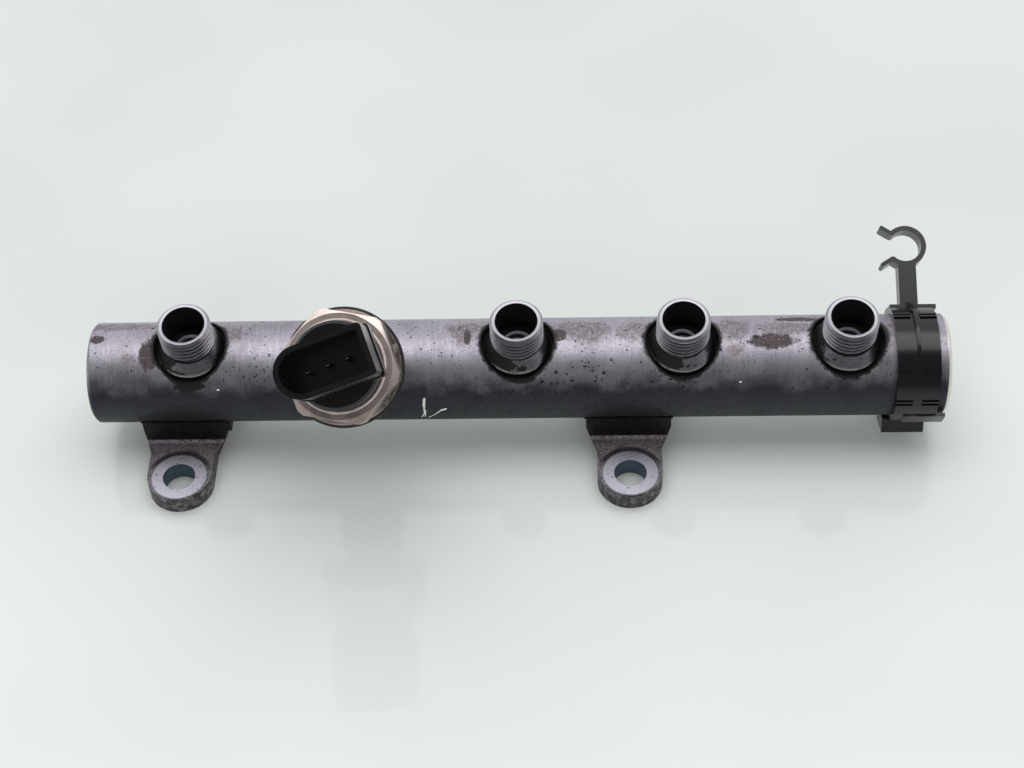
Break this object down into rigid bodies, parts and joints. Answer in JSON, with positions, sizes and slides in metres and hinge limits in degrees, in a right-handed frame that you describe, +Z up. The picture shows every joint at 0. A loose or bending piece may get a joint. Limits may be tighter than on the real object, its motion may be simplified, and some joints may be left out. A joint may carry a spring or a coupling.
{
  "type": "high-pressure fuel rail",
  "caption": "Thick steel tube with welded threaded stubs, a screwed-in pressure sensor, two bolted mounting lugs and a black moulded pipe clip at one end",
  "frame": {"origin": "midway between the two bolt holes, on the flat underside of the lugs", "axes": "+X along the tube, from the end with the sensor to the end with the pipe clip; +Z up out of the mounting faces, the way the bolts leave; +Y from the bolt holes to the tube"},
  "size_m": [0.2274, 0.0864, 0.0794],
  "materials": {
    "tube_steel": "satin, grey with brown stains",
    "stub_steel": "bright, turned",
    "boss_steel": "satin, oily",
    "seal_iron": "plain",
    "sensor_steel": "satin, turned",
    "board": "glass-fibre board",
    "carrier_plastic": "plain",
    "seal_rubber": "matt",
    "connector_plastic": "moulded, satin black",
    "pin_brass": "tinned",
    "lug_steel": "forged, dark and oily, machined ring at the hole",
    "plug_steel": "dark, plain",
    "clip_plastic": "moulded black"
  },
  "bodies": {
    "root": {"rail_tube": "tube_steel", "port_stub_1": "stub_steel", "port_stub_2": "stub_steel", "port_stub_3": "stub_steel", "port_stub_4": "stub_steel", "sensor_boss": "boss_steel", "sensor_seal_ring": "seal_iron", "end_plug_seal": "seal_iron", "sensor_body": "sensor_steel", "sensor_measuring_cell": "sensor_steel", "sensor_circuit_board": "board", "sensor_board_carrier": "carrier_plastic", "sensor_rubber_ring": "seal_rubber", "sensor_connector": "connector_plastic", "sensor_pin_1": "pin_brass", "sensor_pin_2": "pin_brass", "sensor_pin_3": "pin_brass", "mounting_lug_left": "lug_steel", "mounting_lug_right": "lug_steel", "end_plug": "plug_steel", "pipe_clip": "clip_plastic"}
  },
  "joints": []
}
